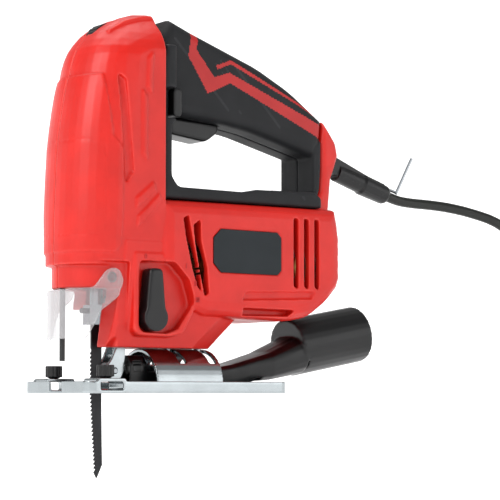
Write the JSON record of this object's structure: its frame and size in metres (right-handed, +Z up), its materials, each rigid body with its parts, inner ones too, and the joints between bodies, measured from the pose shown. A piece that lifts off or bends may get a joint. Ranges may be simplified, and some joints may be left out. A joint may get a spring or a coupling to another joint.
{
  "type": "corded jigsaw",
  "caption": "Corded D-handle jigsaw with reciprocating blade, pendulum selector, clear blade guard, tilting pressed-steel shoe, dust adapter and a coiled mains lead with plug.",
  "frame": {"origin": "middle of the shoe's sole", "axes": "+X towards the cord (the tool cuts towards -X), +Y towards the user's left when cutting away from them, +Z up out of the work"},
  "size_m": [0.4647, 0.1265, 0.2999],
  "materials": {
    "housing": "satin moulded glass-filled nylon, red",
    "grip": "fine matt overmould, charcoal",
    "badge": "smooth slate label panel, blank",
    "black_plastic": "satin black moulding",
    "zinc_plate": "bright zinc-plated pressed steel",
    "steel": "ground steel",
    "blade_steel": "black oxide tool steel",
    "alloy": "die-cast, dull",
    "brass": "sintered or drawn, dull",
    "copper": "varnished windings on a laminated core",
    "carbon": "pressed carbon",
    "clear": "clear moulded polycarbonate",
    "cable": "dull black flexible jacket"
  },
  "bodies": {
    "housing": {"housing_left": "housing", "housing_right": "housing", "grip_left": "grip", "grip_right": "grip", "badge_left": "badge", "badge_right": "badge", "housing_screw_1": "steel", "housing_screw_2": "steel", "housing_screw_3": "steel", "grip_screw_1": "steel", "grip_screw_2": "steel", "stator": "steel", "front_bearing": "steel", "rear_bearing": "steel", "bearing_plate": "alloy", "gear_axle": "steel", "gear_case": "alloy", "brush_left": "carbon", "brush_right": "carbon", "brush_holder_left": "brass", "brush_holder_right": "brass", "carrier_pin": "steel", "fork_pin": "steel", "bevel_bolt_front": "steel", "bevel_bolt_rear": "steel", "trigger_spring": "steel", "switch_module": "black_plastic", "finger_rod": "black_plastic", "strain_relief": "black_plastic", "cord": "cable", "cord_coil": "cable", "plug": "cable"},
    "armature": {"armature": "copper", "cooling_fan": "black_plastic", "pinion": "steel"},
    "gear": {"drive_gear": "steel"},
    "carrier": {"plunger_carrier": "alloy", "upper_bush": "brass", "lower_bush": "brass"},
    "plunger": {"plunger_rod": "steel", "scotch_yoke": "steel", "blade_clamp": "steel", "clamp_screw": "blade_steel", "saw_blade": "blade_steel"},
    "fork": {"pendulum_fork": "zinc_plate", "roller_pin": "steel"},
    "roller": {"guide_roller": "steel"},
    "selector": {"selector_knob": "black_plastic", "selector_shaft": "steel"},
    "shoe": {"shoe_plate": "zinc_plate", "bevel_saddle": "zinc_plate", "dust_duct": "black_plastic"},
    "adapter": {"dust_adapter": "black_plastic"},
    "fence_screw_left": {"fence_screw_left": "black_plastic"},
    "fence_screw_right": {"fence_screw_right": "black_plastic"},
    "guard": {"blade_guard": "clear"},
    "trigger": {"trigger": "black_plastic"},
    "lock_button": {"lock_button": "black_plastic"},
    "speed_dial": {"speed_dial": "black_plastic"},
    "hex_key": {"hex_key": "steel"}
  },
  "joints": [
    {"name": "armature_spin", "type": "hinge", "parent": "housing", "child": "armature", "pos_m": [0, 0, 0.082], "axis": [1, 0, 0], "continuous": true},
    {"name": "gear_spin", "type": "hinge", "parent": "housing", "child": "gear", "pos_m": [-0.026, 0, 0.11075], "axis": [1, 0, 0], "continuous": true},
    {"name": "fork_swing", "type": "hinge", "parent": "housing", "child": "fork", "pos_m": [-0.033, 0, 0.058], "axis": [0, 1, 0], "range_deg": [0, 3.5]},
    {"name": "carrier_swing", "type": "hinge", "parent": "housing", "child": "carrier", "pos_m": [-0.056, 0, 0.17], "axis": [0, 1, 0], "range_deg": [0, 1]},
    {"name": "plunger_stroke", "type": "slide", "parent": "carrier", "child": "plunger", "axis": [0, 0, 1], "range_m": [-0.009, 0.009]},
    {"name": "roller_spin", "type": "hinge", "parent": "fork", "child": "roller", "pos_m": [-0.036, 0, 0.0138], "axis": [0, 1, 0], "continuous": true},
    {"name": "pendulum_select", "type": "hinge", "parent": "housing", "child": "selector", "pos_m": [-0.025, 0, 0.046], "axis": [0, 1, 0], "range_deg": [0, 66]},
    {"name": "bevel_tilt", "type": "hinge", "parent": "housing", "child": "shoe", "pos_m": [0, 0, 0.006], "axis": [1, 0, 0], "range_deg": [-45, 45]},
    {"name": "adapter_slide", "type": "slide", "parent": "shoe", "child": "adapter", "axis": [0.9703, 0, 0.2419], "range_m": [0, 0.03]},
    {"name": "fence_screw_left_turn", "type": "hinge", "parent": "shoe", "child": "fence_screw_left", "pos_m": [-0.058, -0.03, 0.012], "axis": [0, 0, 1], "continuous": true},
    {"name": "fence_screw_right_turn", "type": "hinge", "parent": "shoe", "child": "fence_screw_right", "pos_m": [-0.058, 0.03, 0.012], "axis": [0, 0, 1], "continuous": true},
    {"name": "guard_swing", "type": "hinge", "parent": "housing", "child": "guard", "pos_m": [-0.05, 0, 0.07], "axis": [0, 1, 0], "range_deg": [0, 28]},
    {"name": "trigger_press", "type": "slide", "parent": "housing", "child": "trigger", "axis": [0, 0, 1], "range_m": [0, 0.004], "stiffness_N_per_m": 900, "springref_m": -0.003, "deforming": ["trigger_spring"]},
    {"name": "lock_press", "type": "slide", "parent": "housing", "child": "lock_button", "axis": [0, 1, 0], "range_m": [0, 0.003], "stiffness_N_per_m": 600, "springref_m": -0.002},
    {"name": "speed_turn", "type": "hinge", "parent": "housing", "child": "speed_dial", "pos_m": [-0.04, 0, 0.2165], "axis": [0, 1, 0], "range_deg": [0, 300]},
    {"name": "key_turn", "type": "hinge", "parent": "housing", "child": "hex_key", "pos_m": [0.201, 0, 0.1406], "axis": [0.9731, 0, -0.2304], "range_deg": [-50, 50]}
  ],
  "couplings": [
    {"joint": "gear_spin", "follows": "armature_spin", "ratio": -0.19048},
    {"joint": "carrier_swing", "follows": "fork_swing", "ratio": 0.283}
  ]
}
